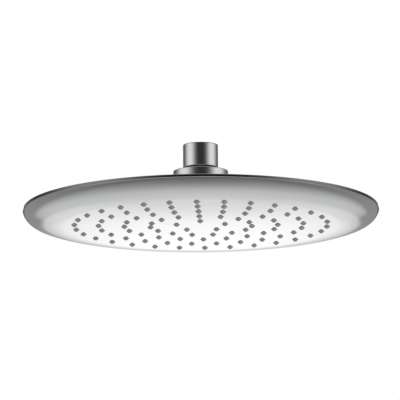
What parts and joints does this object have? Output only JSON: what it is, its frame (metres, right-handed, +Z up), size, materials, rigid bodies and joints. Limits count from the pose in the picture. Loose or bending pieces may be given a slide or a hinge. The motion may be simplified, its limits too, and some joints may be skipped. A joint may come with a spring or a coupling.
{
  "type": "rain shower head",
  "caption": "Round chromed rain shower head with rings of silicone nozzles in a shallow bowl, hung from a threaded collar by a swivelling ball joint.",
  "frame": {"origin": "middle of the mouth of the inlet collar, on the axis of its thread", "axes": "+Z up out of the inlet, so the spray face looks along -Z; -Y towards the viewer of the picture and +X to the viewer's right"},
  "size_m": [0.2496, 0.2496, 0.0591],
  "materials": {
    "chrome": "polished chrome plating",
    "silicone": "matte grey silicone",
    "seal_rubber": "matte black rubber",
    "brass": "turned brass",
    "white_plastic": "moulded white acetal",
    "grey_plastic": "moulded dark grey plastic",
    "steel": "stainless steel"
  },
  "bodies": {
    "inlet": {"inlet_stem": "chrome", "inlet_washer": "seal_rubber", "strainer_screen": "steel", "flow_regulator": "white_plastic", "regulator_ring": "seal_rubber", "ball_o_ring": "seal_rubber"},
    "ball": {"swivel_ball": "chrome"},
    "seats": {"upper_seat": "white_plastic", "lower_seat": "seal_rubber"},
    "head": {"joint_nut": "chrome", "cover_washer": "seal_rubber", "joint_socket": "brass", "socket_o_ring": "seal_rubber", "top_cover": "chrome", "chamber_plate": "grey_plastic", "chamber_seal": "seal_rubber", "plate_screws": "steel", "nozzle_mat": "silicone", "spray_face": "chrome"}
  },
  "joints": [
    {"name": "ball_turn", "type": "hinge", "parent": "inlet", "child": "ball", "pos_m": [0, 0, -0.0271], "axis": [0, 0, 1], "continuous": true},
    {"name": "head_tilt", "type": "hinge", "parent": "ball", "child": "seats", "pos_m": [0, 0, -0.0271], "axis": [1, 0, 0], "range_deg": [-9, 9]},
    {"name": "head_spin", "type": "hinge", "parent": "seats", "child": "head", "pos_m": [0, 0, -0.0271], "axis": [0, 0, 1], "continuous": true}
  ]
}
